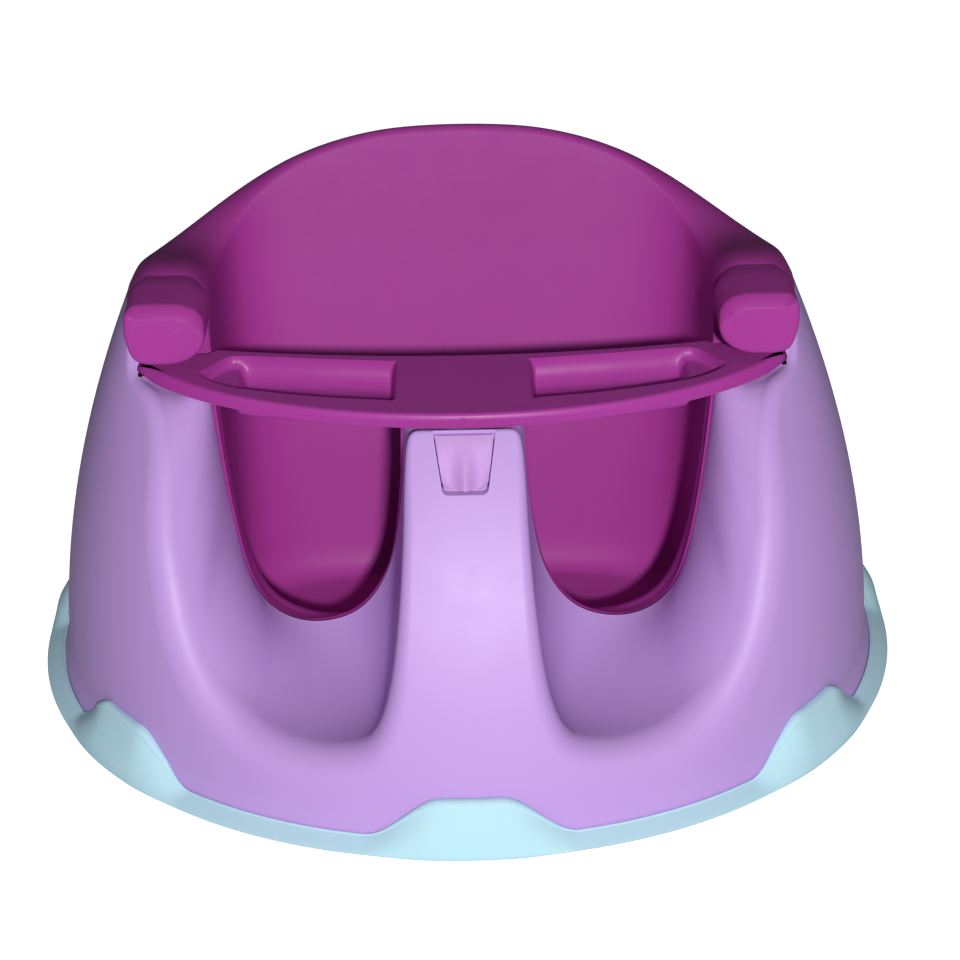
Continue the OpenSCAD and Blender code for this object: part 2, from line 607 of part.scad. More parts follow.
module tray_top() {
    low = tray_top_z - tray_edge;
    color([0.44, 0.18, 0.40]) difference() {
        union() {
            slab(tray_outline(0), low + 2, tray_top_z - 1.6);
            slab(tray_outline(0.8), low, tray_top_z - 0.7);
            slab(tray_outline(1.8), tray_top_z - 1, tray_top_z);
            wells(tray_wall, false);
        }
        difference() {
            slab(tray_outline(tray_wall + 0.6), low - 1, tray_top_z - tray_wall);
            wells(tray_wall, false);
            // stiffening ribs under the pad
            for (side = [-1, 1])
                translate([side * (strike_width / 2 + 1.4) - 0.9, tray_front_at(0), low - 2])
                    cube([1.8, tray_rear - 2 - tray_front_at(0), 20]);
            // solid guide ends, held between the frame tops and the noses
            for (side = [-1, 1])
                translate([side * (tray_half_width - 10) - 12, tray_rear - 34, low - 2])
                    cube([24, 60, 20]);
            for (p = tray_screw_spots) translate([p[0], p[1], strike_high + 0.1])
                cylinder(d = 8, h = 4);
        }
        wells(0, true);
        for (p = tray_screw_spots) translate([p[0], p[1], strike_high - 1])
            cylinder(d = small_screw + 2 * screw_fit, h = tray_top_z - strike_high);
    }
}

// plate that the crest of the spring catches, held up to the pad by four screws
strike_low = slot_z + 1.5;
strike_high = strike_low + strike_wall;
strike_front = tray_front_at(strike_width / 2) + tray_wall + 1;
strike_rear = tray_rear - 5;
tray_screw_x = strike_width / 2 - 4.6;
tray_screw_spots = [for (y = [strike_front + 13.5, strike_rear - 12]) for (x = [-1, 1])
                        [x * tray_screw_x, y]];
strike_window = spring_width + 5;
module tray_latch_plate() {
    color([0.52, 0.22, 0.47]) difference() {
        translate([-strike_width / 2, strike_front, strike_low])
            cube([strike_width, strike_rear - strike_front, strike_wall]);
        for (p = tray_screw_spots) translate([p[0], p[1], strike_low - 1]) {
            cylinder(d = small_screw + 0.6, h = strike_wall + 2);
            cylinder(d = 2 * small_screw + 1.4, h = 2.6);
        }
        // window that the crest of the spring stands in
        translate([-strike_window / 2, crest_y - 4, strike_low - 1])
            cube([strike_window, 8, strike_wall + 2]);
        // second window, to save weight
        translate([-strike_window / 2, crest_y + 13, strike_low - 1])
            cube([strike_window, strike_rear - 8 - crest_y - 13, strike_wall + 2]);
    }
}

module tray_screws() {
    color([0.72, 0.72, 0.74]) for (p = tray_screw_spots) {
        translate([p[0], p[1], strike_low + 0.1]) cylinder(d = 2 * small_screw + 0.8, h = 1.5);
        translate([p[0], p[1], strike_low + 1.59])
            cylinder(d = small_screw, h = tray_top_z - 1.2 - strike_low - 1.59);
    }
}

// ---------- which node to draw ----------

outer_shell();
seat_liner();
foot_ring();
base_plate();
base_screws();
latch_bracket();
bracket_screws();
tab_pivot_pin();
release_tab();
latch_spring();
spring_rivet();
tray_top();
tray_latch_plate();
tray_screws();
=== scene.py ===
import math
import bpy
import numpy as np
from mathutils import Matrix, Vector


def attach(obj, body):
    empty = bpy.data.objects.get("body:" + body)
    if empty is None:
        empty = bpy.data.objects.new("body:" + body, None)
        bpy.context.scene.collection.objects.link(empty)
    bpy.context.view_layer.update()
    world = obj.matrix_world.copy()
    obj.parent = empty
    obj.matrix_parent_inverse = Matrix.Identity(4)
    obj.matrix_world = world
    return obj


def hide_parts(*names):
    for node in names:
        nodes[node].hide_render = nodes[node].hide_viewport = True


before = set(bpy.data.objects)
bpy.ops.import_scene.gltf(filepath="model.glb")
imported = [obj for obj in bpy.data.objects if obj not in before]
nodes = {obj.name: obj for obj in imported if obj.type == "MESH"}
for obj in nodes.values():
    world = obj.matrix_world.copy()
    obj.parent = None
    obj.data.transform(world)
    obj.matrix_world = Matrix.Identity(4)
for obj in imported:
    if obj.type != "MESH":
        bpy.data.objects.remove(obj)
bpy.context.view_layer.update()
print("frame loaded:", len(nodes), "nodes")

mm = 0.001   # shapes are worked out in millimetres and put into the mesh in metres


# mesh helpers

def makePiece(name, points, faces, material, body, smoothAngle=35):
    # one object from an array of points in millimetres and a list of faces
    mesh = bpy.data.meshes.new(name)
    mesh.from_pydata((np.asarray(points, float).reshape(-1, 3) * mm).tolist(), [], faces)
    mesh.update()
    mesh.polygons.foreach_set("use_smooth", [True] * len(mesh.polygons))
    piece = bpy.data.objects.new(name, mesh)
    bpy.context.scene.collection.objects.link(piece)
    mesh.materials.append(material)
    mesh.set_sharp_from_angle(angle=math.radians(smoothAngle))
    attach(piece, body)
    return piece


def gridFaces(columns, rows, closedColumns=True, closedRows=False, start=0, turned=False):
    # quads between neighbouring columns and rows of a grid laid out column by column
    i = np.arange(columns if closedColumns else columns - 1)
    j = np.arange(rows if closedRows else rows - 1)
    i, j = [g.ravel() for g in np.meshgrid(i, j, indexing="ij")]
    nextI, nextJ = (i + 1) % columns, (j + 1) % rows
    quad = np.stack([i * rows + j, nextI * rows + j, nextI * rows + nextJ, i * rows + nextJ], 1) + start
    return (quad[:, ::-1] if turned else quad).tolist()


def fan(pole, ringIndex, turned=False):
    # triangles from one pole to the neighbouring points of a ring
    ahead = np.roll(ringIndex, -1)
    pair = (ahead, ringIndex) if turned else (ringIndex, ahead)
    return np.stack([np.full(len(ringIndex), pole), *pair], 1).tolist()


def unit(v):
    # vectors divided by their own length
    return v / np.maximum(np.linalg.norm(v, axis=-1, keepdims=True), 1e-9)


def smoothStep(t):
    # three times the square less twice the cube, from 0 to 1
    t = np.clip(t, 0, 1)
    return t * t * (3 - 2 * t)


def bendTo(p, corner, q, s):
    # quadratic curve from p to q that leaves and arrives along the lines to the corner
    s = np.asarray(s)[None, :, None]
    return (1 - s) ** 2 * p[:, None] + 2 * s * (1 - s) * corner[:, None] + s * s * q[:, None]


def gridNormals(grid):
    # normal of a grid, closed along its columns, from the cross product of its two directions
    a = np.roll(grid, -1, 0) - np.roll(grid, 1, 0)
    b = np.empty_like(grid)
    b[:, 1:-1] = grid[:, 2:] - grid[:, :-2]
    b[:, 0], b[:, -1] = grid[:, 1] - grid[:, 0], grid[:, -1] - grid[:, -2]
    return unit(np.cross(a, b))


def bothSides(half):
    # mirrors a half list of columns in the middle plane and closes it to a ring
    mirrored = half[-2:0:-1] * np.array([-1.0, 1, 1])
    return np.concatenate([half, mirrored])


# the dome that all large pieces follow

dome = dict(halfWidth=190, halfDepth=176.5, height=215, sideLean=57.6, frontLean=122, backLean=81.5,
            leanPower=1.95, squareLow=2.05, squareGain=0.3, squareDrop=0.31, waist=2.9, flareLow=5,
            flareHigh=15)


def squareness(z, front):
    # exponent of the outline: grows with the height, and the front loses it again up to the tray
    return (dome["squareLow"] + dome["squareGain"] * np.clip(z / 170, 0, 1)
            - dome["squareDrop"] * front * smoothStep((z - 100) / 64))


def leaned(z, size, lean):
    # half size at height z, leaning in with a power of the height
    return size - lean * (np.maximum(z, 0) / dome["height"]) ** dome["leanPower"]


def domePoint(angle, z, off=0.0):
    # superellipse at height z and compass angle (0 is the front), pushed out by off; above the flared
    # foot the flanks are drawn in by the waist times the squared sine of the angle
    a = np.radians(angle)
    n = squareness(z, smoothStep(2 * np.cos(a)))
    out = off - dome["waist"] * np.sin(a) ** 2 * smoothStep((z - dome["flareLow"])
                                                             / (dome["flareHigh"] - dome["flareLow"]))
    w = leaned(z, dome["halfWidth"], dome["sideLean"]) + out
    d = leaned(z, dome["halfDepth"], np.where(np.cos(a) > 0, dome["frontLean"], dome["backLean"])) + out
    r = ((np.abs(np.sin(a)) / w) ** n + (np.abs(np.cos(a)) / d) ** n) ** (-1 / n)
    return np.stack(np.broadcast_arrays(r * np.sin(a), -r * np.cos(a), z + 0 * r), -1)


def frontAt(x, z):
    # y of the dome's front at x and height z
    n = squareness(z, 1)
    share = np.minimum(np.abs(x) / leaned(z, dome["halfWidth"], dome["sideLean"]), 1)
    return -leaned(z, dome["halfDepth"], dome["frontLean"]) * (1 - share ** n) ** (1 / n)


# the edge that shell and liner share

body = dict(shellWall=3, shellFoot=4, edgeWall=1.2, edgeRows=5, linerWall=3, panHeight=15, panFront=-46,
            panBack=29, seamGap=0.6, slotZ=156.9, linerY=-74.05, halfColumns=264, riseRows=46, arcRows=21,
            wallRows=36, filletRows=12, rimRows=37, panRows=16, settleTurns=4, straightShare=0.6,
            swingRange=(1.0, 2.6), riseSpacing=1.15, footTurn=1.9, tuckIn=3.5, tuckUp=6.0, skirtIn=2.4,
            skirtDrop=10.0, skirtShare=0.3, bendUp=26.0, bendOut=0.12, panDish=0.6, outerCorner=0.42,
            innerCorner=0.76, rimAngles=[76, 82, 100, 125, 137], rimSteps=[3.4, 3.4, 3.4, 5.5, 6.5])
slotZ, linerY, panFront = body["slotZ"], body["linerY"], body["panFront"]

# edge angle, edge height, foot angle, rounding, liner start xyz, liner top xyz, crown height,
# foot of the liner's wall xy, 1 where the edge is a leg opening
edgeKeys = np.array([
    [0, slotZ + 1.1, 0, 1.8, 0, linerY - 8, slotZ, 0, linerY, slotZ, 0, 0, panFront, 1],
    [9.2, slotZ + 1.1, 1.4, 1.8, 16, linerY - 8, slotZ, 15, linerY, slotZ, 0, 3, panFront, 1],
    [10.9, slotZ + 0.9, 3, 1.8, 24.5, linerY - 8, slotZ, 21.5, linerY, slotZ, 0, 6, panFront, 1],
    [10.9, slotZ - 3, 4.2, 2.8, 25.6, linerY - 8, slotZ - 3.2,
     22.8, linerY + 0.5, slotZ - 3.2, 0, 9, panFront, 1],
    [9.3, 132, 5.6, 4.4, 25.9, linerY - 7.5, 138, 23.3, linerY + 2, 139, 0, 12, panFront, 1],
    [8.9, 116, 6.6, 4.6, 26.6, linerY - 6.5, 122, 24, linerY + 3, 122, 0, 14.5, panFront, 1],
    [8.7, 95, 7.6, 5.2, 28.4, linerY - 6, 104, 25.6, linerY + 4, 104, 0, 16, panFront, 1],
    [8.6, 68, 9, 7.5, 32.4, linerY - 3, 78, 29.4, linerY + 6, 77, 0, 21, panFront, 1],
    [9.8, 46, 11, 10, 43, linerY + 1, 57, 40, linerY + 9, 55, 0, 28, panFront + 0.2, 1],
    [13, 31, 14, 13, 56, linerY + 4, 47.5, 54, linerY + 11, 45, 0, 38, panFront + 0.5, 1],
    [20.5, 25, 20, 13, 72, linerY + 4, 46, 71, linerY + 12, 43.5, 0, 52, panFront + 1, 1],
    [29, 25, 28, 14, 86, linerY + 4, 53, 85, linerY + 12, 51, 0, 66, panFront + 2.5, 1],
    [37.5, 33, 36, 15, 95, linerY + 4, 68, 95, linerY + 13, 66, 0, 80, panFront + 5, 1],
    [46, 60, 45, 14, 101, linerY + 11, 92, 100, linerY + 20, 91, 0, 90, panFront + 10, 1],
    [50.2, 85, 50, 13, 104.5, linerY + 17, 115, 103.5, linerY + 26, 115, 0, 96, -30, 1],
    [54, 105, 55, 12.6, 106.8, linerY + 21, 134, 105.5, linerY + 30, 134, 0, 99.5, -25, 1],
    [60.4, 137, 61.6, 11.5, 108.2, linerY + 24, slotZ - 6.7, 106.5, linerY + 33, slotZ - 6.7, 0, 101.5, -21, 1],
    [66, 150, 67, 7, 111, -46, slotZ, 108, -38, slotZ, 0, 103, -17, 1],
    [70, 152.5, 71, 4.6, 124, -35, slotZ, 109.5, -29, slotZ, 0, 103.5, -15, 1],
    [73, 155, 74, 4, 139, -36, slotZ + 2.4, 109.5, -31, slotZ + 2.2, 5, 103.7, -13, 0.7],
    [76, 165, 77, 2.8, 143, -33, 169, 109.5, -29, 169, 14, 103.8, -11, 0.2],
    [80, 174.5, 80.5, 2.2, 146, -25, 178, 109.5, -22, 172, 18.3, 104, -8, 0],
    [87, 176, 87, 2, 149, -8, 179, 110, -7, 172, 17.8, 104, -3, 0],
    [96, 172.5, 96, 2.2, 150, 16, 176, 111, 13, 172.5, 13.5, 103, 4, 0],
    [105, 168, 105, 3, 147, 39, 172, 111, 33, 173, 9, 101, 9, 0],
    [113, 166.5, 113, 3.6, 141, 60, 171, 109, 48, 174, 7.5, 97, 14, 0],
    [121, 172.5, 121, 4.2, 126, 75, 178, 105, 61, 180, 5.5, 90, 19, 0],
    [129, 185, 129, 4.8, 104, 84, 191, 94, 71, 193, 4.5, 80, 23, 0],
    [137, 196, 137, 5, 85, 88, 202, 78, 77, 204, 4, 67, 26, 0],
    [146, 203.5, 146, 5, 62, 91, 209, 58, 80.5, 211, 4, 50, 28, 0],
    [157, 208, 157, 5, 39, 93, 214, 36, 82.5, 216, 4, 30, 29, 0],
    [168, 209.3, 168, 5, 20, 94, 215, 18, 83.5, 217, 4, 15, 29, 0],
    [180, 209.5, 180, 5, 0, 95, 216, 0, 84, 217.5, 4, 0, 29, 0]])


def smoothAt(keys, t):
    # uniform cubic B-spline through a list of keys, t from 0 at the first to 1 at the last; beyond
    # both ends the keys are mirrored in the middle plane
    flips = np.ones(keys.shape[1])
    flips[[0, 2, 4, 7, 11]] = -1
    turn = np.zeros(keys.shape[1])
    turn[[0, 2]] = 360
    ends = np.vstack([keys[1] * flips, keys, keys[-2] * flips + turn])
    s = np.asarray(t) * (len(keys) - 1)
    i = np.minimum(np.floor(s).astype(int), len(keys) - 2)
    f = (s - i)[:, None]
    return ((1 - f) ** 3 * ends[i] + (3 * f ** 3 - 6 * f * f + 4) * ends[i + 1]
            + (-3 * f ** 3 + 3 * f * f + 3 * f + 1) * ends[i + 2] + f ** 3 * ends[i + 3]) / 6


edge = smoothAt(edgeKeys, np.linspace(0, 1, body["halfColumns"] + 1))
edgePoint = domePoint(edge[:, 0], edge[:, 1])
edgeAlong = np.empty_like(edgePoint)
edgeAlong[1:-1] = edgePoint[2:] - edgePoint[:-2]
edgeAlong[0], edgeAlong[-1] = [1, 0, 0], [-1, 0, 0]
edgeAlong = unit(edgeAlong)
edgeOut = unit(np.cross(domePoint(edge[:, 0] + 0.5, edge[:, 1]) - domePoint(edge[:, 0] - 0.5, edge[:, 1]),
                        domePoint(edge[:, 0], edge[:, 1] + 1) - domePoint(edge[:, 0], edge[:, 1] - 1)))
edgeAcross = np.cross(edgeOut, edgeAlong)
opening = edge[:, 13:14]
rimStep = np.interp(edge[:, 0], body["rimAngles"], body["rimSteps"])
linerStart = opening * edge[:, 4:7] + (1 - opening) * domePoint(edge[:, 0], edge[:, 1] + rimStep, 0.3)
linerTop = edge[:, 7:10]


def shellColumns():
    # up the dome to the edge, round it on an arc, then on a bend in to the liner that ends straight back
    # at the upright sides of the openings
    rounding = edge[:, 3:4]
    back = np.array([0, 1.0, 0]) - edgeAlong * edgeAlong[:, 1:2]
    share = opening[:, 0] * smoothStep((np.linalg.norm(back, axis=1) - 0.4) / 0.4)
    steep = smoothStep((np.abs(edgeAlong[:, 2]) - 0.3) / 0.4)
    outerSide = smoothStep((edge[:, 0] - 36) / 10)
    upright = (share * steep * outerSide)[:, None]
    back = unit(back)
    lip = unit(linerStart - linerTop)
    swing = np.full((len(edge), 1), math.pi / 2)
    for settle in range(body["settleTurns"]):
        ending = np.cos(swing) * edgeAcross - np.sin(swing) * edgeOut
        corner = edgePoint + rounding * (np.sin(swing) * edgeAcross - (1 - np.cos(swing)) * edgeOut)
        way = unit(corner - linerStart)
        aside = way - (way * lip).sum(1, keepdims=True) * lip
        tucked = corner - body["tuckIn"] * edgeOut + [0, 0, body["tuckUp"]]
        last = opening * (linerStart + body["seamGap"] * (lip + 2.2 * aside)) + (1 - opening) * tucked
        reach = np.linalg.norm(last - corner, axis=1, keepdims=True) / 2
        straightBack = last - body["straightShare"] * back * ((last - corner) * back).sum(1, keepdims=True)
        toward = straightBack - corner
        aim = np.arctan2(-(toward * edgeOut).sum(1), (toward * edgeAcross).sum(1))[:, None]
        swing = math.pi / 2 + upright * (np.clip(aim, *body["swingRange"]) - math.pi / 2)
    bend = corner + reach * ending + upright * (straightBack - corner - reach * ending)
    t = np.linspace(0, 1, body["riseRows"] + 1)[None, :-1] ** body["riseSpacing"]
    rise = domePoint(edge[:, 2:3] + (edge[:, 0:1] - edge[:, 2:3]) * t ** body["footTurn"],
                     body["shellFoot"] + (edge[:, 1:2] - body["shellFoot"]) * t)
    arc = np.linspace(0, 1, body["arcRows"])
    a = (swing * arc)[..., None]
    turn = (edgePoint[:, None] + rounding[:, None] * np.sin(a) * edgeAcross[:, None]
            - rounding[:, None] * (1 - np.cos(a)) * edgeOut[:, None])
    inward = bendTo(corner, bend, last, arc[1:])
    return np.concatenate([rise, turn, inward], 1)


def signedPower(v, power):
    # power of the size, with the sign kept
    return np.sign(v) * np.abs(v) ** power


armShare = np.clip((edge[:, 10] - 5) / 11, 0, 1)[:, None]
crownLean = (domePoint(edge[:, 0], edge[:, 1] + rimStep + edge[:, 10])
             - domePoint(edge[:, 0], edge[:, 1] + rimStep))
linerFoot = np.concatenate([edge[:, 11:13], np.full((len(edge), 1), body["panHeight"])], 1)
linerBend = linerFoot + [0, 0, body["bendUp"]]
linerBend[:, :2] += body["bendOut"] * (linerTop - linerFoot)[:, :2]
outerUp = unit(domePoint(edge[:, 0], edge[:, 1] + 5) - domePoint(edge[:, 0], edge[:, 1]))
innerUp = unit(linerTop - linerBend)


def crownRows(start, top, height, angles):
    # rim of the liner. Round the back it is a cubic curve that leaves along the dome and arrives along the
    # wall. Over the arms it is a level superellipse with a tight corner outside and a wide one inside,
    # and its outer side leans in with the dome
    a = np.radians(angles)[None, :]
    corner = np.where(np.cos(a) > 0, body["outerCorner"], body["innerCorner"])
    share = (1 - signedPower(np.cos(a), corner)) / 2
    lift = np.maximum(np.sin(a), 0) ** corner
    arm = start[:, None] + (top - start)[:, None] * share[..., None]
    level = ((start[:, 2] + top[:, 2]) / 2 + height)[:, None]
    arm[..., 2] += lift * (level - arm[..., 2])
    arm[..., :2] += (lift * (1 - share) ** 2)[..., None] * crownLean[:, None, :2]
    u = (a / math.pi)[..., None]
    handle = height[:, None, None] / 0.75   # a cubic rises three quarters of its handles
    rolled = ((1 - u) ** 3 * start[:, None]
              + 3 * (1 - u) ** 2 * u * (start[:, None] + handle * outerUp[:, None])
              + 3 * (1 - u) * u * u * (top[:, None] + handle * innerUp[:, None]) + u ** 3 * top[:, None])
    return rolled + armShare[..., None] * (arm - rolled)


crownAngles = np.degrees(np.linspace(0, math.pi, body["rimRows"]))
panMiddle = np.array([0, (body["panFront"] + body["panBack"]) / 2, body["panHeight"] - 1.5])


def linerColumns():
    # a skirt behind the shell's edge, over the rim, down the wall, round a fillet and in over the dished
    # sitting surface
    wall = bendTo(linerTop, linerBend, linerFoot, np.linspace(0, 0.8, body["wallRows"] + 1)[1:])
    inner = linerFoot + (panMiddle - linerFoot) * 0.17 + [0, 0, -0.15]
    fillet = bendTo(wall[:, -1], linerFoot + [0, 0, 0.2], inner, np.linspace(0, 1, body["filletRows"] + 1)[1:])
    g = np.linspace(0, 1, body["panRows"])[1:-1][None, :, None]
    dish = np.array([0, 0, body["panDish"]]) * np.sin(np.pi * g)
    pan = inner[:, None] + (panMiddle - inner)[:, None] * g - dish
    drop = np.maximum(1 - opening, 0.02)
    skirt = np.stack([linerStart - drop * (body["skirtIn"] * edgeOut + [0, 0, body["skirtDrop"]]),
                      linerStart - drop * body["skirtIn"] / 2 * edgeOut], 1)
    rim = crownRows(linerStart, linerTop, edge[:, 10], crownAngles)
    return np.concatenate([skirt, rim, wall, fillet, pan], 1)


# materials

def groupNode(tree, group, values):
    # places a node group and sets its own inputs by name
    node = tree.nodes.new("ShaderNodeGroup")
    node.node_tree = group
    for key, value in values.items():
        node.inputs[key].default_value = value
    return node


def newGroup(name, inputs, outputs):
    # empty shader node group with named number sockets
    group = bpy.data.node_groups.new(name, "ShaderNodeTree")
    for label, value in inputs:
        socket = group.interface.new_socket(label, in_out="INPUT", socket_type="NodeSocketFloat")
        socket.default_value = value
    for label in outputs:
        group.interface.new_socket(label, in_out="OUTPUT", socket_type="NodeSocketFloat")
    return group, group.nodes.new("NodeGroupInput"), group.nodes.new("NodeGroupOutput")


def mathNode(tree, operation, a, b, clamp=False):
    # one operation on two numbers or sockets
    node = tree.nodes.new("ShaderNodeMath")
    node.operation = operation
    node.use_clamp = clamp
    for socket, value in zip(node.inputs, (a, b)):
        if isinstance(value, (int, float)):
            socket.default_value = value
        else:
            tree.links.new(value, socket)
    return node.outputs[0]


def noiseNode(tree, vector, scale, detail, roughness):
    # noise on the given coordinates, its scale taken from a socket
    node = tree.nodes.new("ShaderNodeTexNoise")
    tree.links.new(scale, node.inputs["Scale"])
    node.inputs["Detail"].default_value = detail
    node.inputs["Roughness"].default_value = roughness
    tree.links.new(vector, node.inputs["Vector"])
    return node.outputs["Fac"]


def mouldGroup():
    # fine orange-peel grain and slow mottling of a moulding, all from noise on object coordinates
    group, start, end = newGroup("mouldedGrain", [("Grain scale", 1400.0), ("Mottle scale", 14.0)],
                                 ["Height", "Mottle", "Gloss"])
    place = group.nodes.new("ShaderNodeTexCoord").outputs["Object"]
    fine = noiseNode(group, place, start.outputs["Grain scale"], 3, 0.6)
    slow = noiseNode(group, place, start.outputs["Mottle scale"], 3, 0.55)
    patch = noiseNode(group, place, mathNode(group, "MULTIPLY", start.outputs["Mottle scale"], 6.0), 4, 0.6)
    group.links.new(fine, end.inputs["Height"])
    group.links.new(slow, end.inputs["Mottle"])
    group.links.new(patch, end.inputs["Gloss"])
    return group


def wearGroup():
    # mask of rubbed edges: sharp convex places broken up by noise
    group, start, end = newGroup("rubbedEdges", [("Sharpness", 9.0), ("Break up", 60.0)], ["Mask"])
    place = group.nodes.new("ShaderNodeTexCoord").outputs["Object"]
    point = group.nodes.new("ShaderNodeNewGeometry").outputs["Pointiness"]
    above = mathNode(group, "SUBTRACT", point, 0.52)
    ridge = mathNode(group, "MULTIPLY", above, start.outputs["Sharpness"], True)
    noise = noiseNode(group, place, start.outputs["Break up"], 4, 0.65)
    group.links.new(mathNode(group, "MULTIPLY", ridge, noise, True), end.inputs["Mask"])
    return group


def dustGroup():
    # mask of thin dust on faces that look up, patchy
    group, start, end = newGroup("settledDust", [("Amount", 0.2), ("Patch scale", 35.0)], ["Mask"])
    place = group.nodes.new("ShaderNodeTexCoord").outputs["Object"]
    split = group.nodes.new("ShaderNodeSeparateXYZ")
    group.links.new(group.nodes.new("ShaderNodeNewGeometry").outputs["Normal"], split.inputs[0])
    up = mathNode(group, "POWER", mathNode(group, "MAXIMUM", split.outputs["Z"], 0.0), 3.0)
    patch = noiseNode(group, place, start.outputs["Patch scale"], 5, 0.6)
    mask = mathNode(group, "MULTIPLY", mathNode(group, "MULTIPLY", up, patch), start.outputs["Amount"], True)
    group.links.new(mask, end.inputs["Mask"])
    return group


mouldedGrain, rubbedEdges, settledDust = mouldGroup(), wearGroup(), dustGroup()
dustColour = (0.72, 0.69, 0.72)


def mixColour(tree, factor, a, b):
    # blend from colour a to colour b by a mask
    node = tree.nodes.new("ShaderNodeMix")
    node.data_type = "RGBA"
    tree.links.new(factor, node.inputs["Factor"])
    for socket, value in ((node.inputs[6], a), (node.inputs[7], b)):
        if isinstance(value, tuple):
            socket.default_value = (*value, 1)
        else:
            tree.links.new(value, socket)
    return node.outputs[2]


def mouldedPlastic(name, colour, deep, pale, roughness=0.5, spread=0.12, grainScale=1400.0, bump=0.06,
                   wear=0.25, dust=0.06, subsurface=0.0, specular=0.3, metallic=0.0):
    # moulded finish: mottled colour, paler rubbed edges, thin dust, uneven gloss and a fine grain
    material = bpy.data.materials.new(name)
    material.use_nodes = True
    tree = material.node_tree
    shader = tree.nodes["Principled BSDF"]
    grain = groupNode(tree, mouldedGrain, {"Grain scale": grainScale, "Mottle scale": 14.0})
    edges = groupNode(tree, rubbedEdges, {"Sharpness": 9.0, "Break up": 60.0})
    film = groupNode(tree, settledDust, {"Amount": dust, "Patch scale": 35.0})
    base = mixColour(tree, grain.outputs["Mottle"], deep, colour)
    worn = mixColour(tree, mathNode(tree, "MULTIPLY", edges.outputs["Mask"], wear), base, pale)
    final = mixColour(tree, film.outputs["Mask"], worn, dustColour)
    tree.links.new(final, shader.inputs["Base Color"])
    gloss = mathNode(tree, "MULTIPLY_ADD", grain.outputs["Gloss"], spread)
    gloss.node.inputs[2].default_value = roughness - spread / 2
    tree.links.new(mathNode(tree, "ADD", gloss, mathNode(tree, "MULTIPLY", film.outputs["Mask"], 0.8), True),
                   shader.inputs["Roughness"])
    relief = tree.nodes.new("ShaderNodeBump")
    relief.inputs["Strength"].default_value = bump
    relief.inputs["Distance"].default_value = 0.0004
    tree.links.new(grain.outputs["Height"], relief.inputs["Height"])
    tree.links.new(relief.outputs["Normal"], shader.inputs["Normal"])
    shader.inputs["Metallic"].default_value = metallic
    shader.inputs["IOR"].default_value = 1.49
    shader.inputs["Specular IOR Level"].default_value = specular
    shader.inputs["Subsurface Weight"].default_value = subsurface
    shader.inputs["Subsurface Radius"].default_value = (0.004, 0.002, 0.003)
    material.diffuse_color = (*colour, 1)
    return material


finish = dict(
    shell=mouldedPlastic("lilacShell", (0.61, 0.375, 0.81), (0.58, 0.345, 0.78), (0.78, 0.62, 0.92),
                         roughness=0.46, specular=0.42),
    liner=mouldedPlastic("plumLiner", (0.43, 0.046, 0.335), (0.395, 0.040, 0.305), (0.60, 0.20, 0.52),
                         roughness=0.5, specular=0.17, dust=0.03),
    tray=mouldedPlastic("plumTray", (0.45, 0.050, 0.365), (0.42, 0.044, 0.335), (0.62, 0.22, 0.55),
                        roughness=0.38, specular=0.25, dust=0.03),
    ring=mouldedPlastic("skyRing", (0.58, 0.87, 0.955), (0.54, 0.83, 0.93), (0.80, 0.93, 0.98),
                        roughness=0.6, grainScale=2200.0, bump=0.12, dust=0.08, subsurface=0.15),
    tab=mouldedPlastic("lilacTab", (0.61, 0.34, 0.74), (0.58, 0.31, 0.71), (0.76, 0.60, 0.90)),
    base=mouldedPlastic("heatherBase", (0.30, 0.20, 0.42), (0.27, 0.18, 0.38), (0.5, 0.4, 0.6),
                        roughness=0.5, bump=0.2),
    bracket=mouldedPlastic("mauveBracket", (0.36, 0.21, 0.47), (0.32, 0.18, 0.43), (0.58, 0.46, 0.68),
                           roughness=0.5, bump=0.15),
    steel=mouldedPlastic("zincSteel", (0.58, 0.58, 0.60), (0.46, 0.46, 0.48), (0.8, 0.8, 0.82),
                         roughness=0.34, spread=0.2, grainScale=3200.0, bump=0.1, metallic=1.0, dust=0.05),
    spring=mouldedPlastic("springSteel", (0.035, 0.033, 0.045), (0.025, 0.024, 0.03), (0.16, 0.16, 0.18),
                          roughness=0.55, grainScale=3200.0, bump=0.1, metallic=0.6, dust=0.0))
print("materials made:", len(finish))


def dressNode(name, material):
    # gives a carried-over CAD node its finish
    node = nodes[name]
    node.data.materials.clear()
    node.data.materials.append(material)


for nodeName, key in dict(base_plate="base", base_screws="steel", latch_bracket="bracket",
                          bracket_screws="steel", tab_pivot_pin="steel", latch_spring="spring",
                          spring_rivet="steel", tray_latch_plate="tray", tray_screws="steel").items():
    dressNode(nodeName, finish[key])

# outer shell

outside = bothSides(shellColumns())
thin = np.full(outside.shape[1], float(body["shellWall"]))
thin[-body["edgeRows"]:] = np.linspace(body["shellWall"], body["edgeWall"], body["edgeRows"])
inside = (outside - thin[None, :, None] * gridNormals(outside))[:, ::-1]
shellLoop = np.concatenate([outside, inside], 1)
outerShell = makePiece("outerShellSkin", shellLoop, gridFaces(*shellLoop.shape[:2], closedRows=True),
                       finish["shell"], "seat", 45)
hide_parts("outer_shell")
print("outer shell:", len(outerShell.data.vertices), "points")

# seat liner with its arm noses

